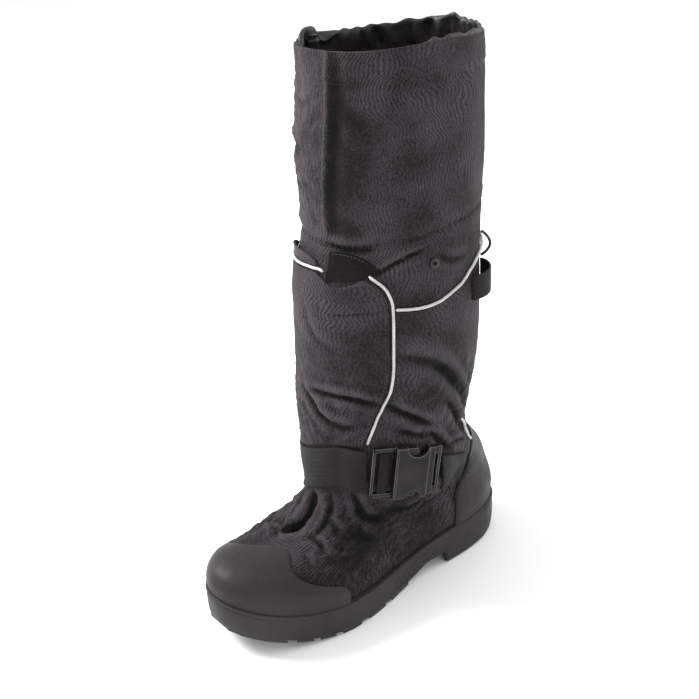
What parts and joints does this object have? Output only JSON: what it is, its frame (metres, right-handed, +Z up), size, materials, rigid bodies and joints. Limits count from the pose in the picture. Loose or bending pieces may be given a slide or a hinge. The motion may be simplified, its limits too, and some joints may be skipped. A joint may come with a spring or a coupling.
{
  "type": "winter overshoe",
  "caption": "Tall left winter overshoe: nylon shaft on a lugged rubber sole with steel studs, rubber toe cap and heel counter, front flap with reflective piping, buckled ankle strap.",
  "frame": {"origin": "middle of the footprint box, on the floor under the stud tips", "axes": "+Z up, toe to -Y, heel to +Y, +X to the outer side of the left foot"},
  "size_m": [0.1646, 0.33, 0.5083],
  "materials": {
    "nylon": "black woven nylon with a faint sheen",
    "rubber": "black rubber with a soft sheen",
    "felt": "dark grey felt",
    "webbing": "black woven webbing",
    "hook_patch": "black hook and loop tape",
    "reflective_piping": "light grey reflective piping",
    "gloss_plastic": "glossy black moulded plastic",
    "cord": "black braided cord",
    "steel": "bare steel"
  },
  "bodies": {
    "root": {"upper": "nylon", "outsole": "rubber", "insole": "felt", "toe_cap": "rubber", "heel_counter": "rubber", "ankle_strap": "webbing", "ankle_strap_rear": "webbing", "rear_pull_loop": "webbing", "front_flap": "nylon", "hook_patch": "hook_patch", "piping_flap": "reflective_piping", "piping_side": "reflective_piping", "piping_inner": "reflective_piping", "piping_heel": "reflective_piping", "buckle_socket": "gloss_plastic", "buckle_insert": "gloss_plastic", "snap_ring": "gloss_plastic", "collar_cord_lock": "gloss_plastic", "drawcord_loop": "cord", "stud_1": "steel", "stud_2": "steel", "stud_3": "steel", "stud_4": "steel", "stud_5": "steel", "stud_6": "steel", "stud_7": "steel", "stud_8": "steel", "stud_9": "steel", "stud_10": "steel", "stud_11": "steel", "stud_12": "steel", "stud_13": "steel", "stud_14": "steel"}
  },
  "joints": []
}
